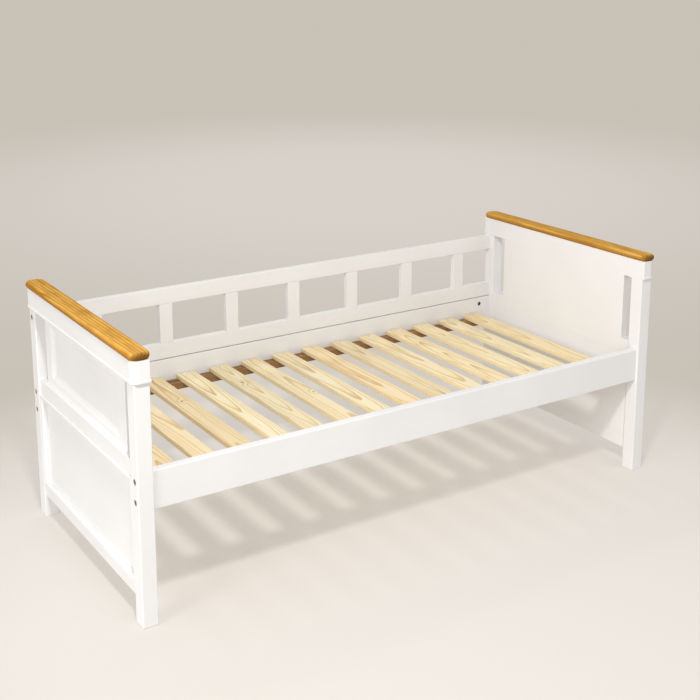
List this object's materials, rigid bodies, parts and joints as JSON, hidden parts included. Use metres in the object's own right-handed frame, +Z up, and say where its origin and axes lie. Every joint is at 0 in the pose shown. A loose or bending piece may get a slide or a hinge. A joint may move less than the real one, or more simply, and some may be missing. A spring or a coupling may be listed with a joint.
{
  "type": "daybed",
  "caption": "Child's daybed with panelled ends, wooden caps, a barred back guard and a slatted base between bolted side rails.",
  "frame": {"origin": "on the floor, under the middle of the bed", "axes": "+X along the bed, from the left end to the right end as seen from the open front; +Y from the open front to the guard; +Z up"},
  "size_m": [1.76, 0.785, 0.7175],
  "materials": {
    "white_paint": "satin white paint on planed wood and board",
    "honey_wood": "honey stain under satin lacquer",
    "pine": "bare planed pine",
    "dowel_wood": "fluted beech",
    "bronzed_steel": "bronzed",
    "zinc_steel": "zinc plated"
  },
  "bodies": {
    "root": {"back_ledger": "pine", "back_rail": "white_paint", "barrel_nuts": "bronzed_steel", "connector_bolts": "bronzed_steel", "front_ledger": "pine", "front_rail": "white_paint", "guard_bar_1": "white_paint", "guard_bar_2": "white_paint", "guard_bar_3": "white_paint", "guard_bar_4": "white_paint", "guard_bar_5": "white_paint", "guard_bar_6": "white_paint", "guard_bar_7": "white_paint", "guard_bottom_rail": "white_paint", "guard_dowels": "dowel_wood", "guard_top_rail": "white_paint", "ledger_screws": "zinc_steel", "left_bottom_rail": "white_paint", "left_cap": "honey_wood", "left_end_dowels": "dowel_wood", "left_front_post": "white_paint", "left_lower_panel": "white_paint", "left_mid_rail": "white_paint", "left_panel_moulding_bottom": "white_paint", "left_panel_moulding_front": "white_paint", "left_panel_moulding_rear": "white_paint", "left_panel_moulding_top": "white_paint", "left_rear_post": "white_paint", "left_top_rail": "white_paint", "left_upper_panel": "white_paint", "rail_pegs": "dowel_wood", "right_bottom_rail": "white_paint", "right_cap": "honey_wood", "right_end_dowels": "dowel_wood", "right_front_post": "white_paint", "right_lower_panel": "white_paint", "right_mid_rail": "white_paint", "right_panel_moulding_bottom": "white_paint", "right_panel_moulding_front": "white_paint", "right_panel_moulding_rear": "white_paint", "right_panel_moulding_top": "white_paint", "right_rear_post": "white_paint", "right_top_rail": "white_paint", "right_upper_panel": "white_paint", "slat_01": "pine", "slat_02": "pine", "slat_03": "pine", "slat_04": "pine", "slat_05": "pine", "slat_06": "pine", "slat_07": "pine", "slat_08": "pine", "slat_09": "pine", "slat_10": "pine", "slat_11": "pine", "slat_12": "pine", "slat_13": "pine", "slat_14": "pine", "slat_screws": "zinc_steel"}
  },
  "joints": []
}
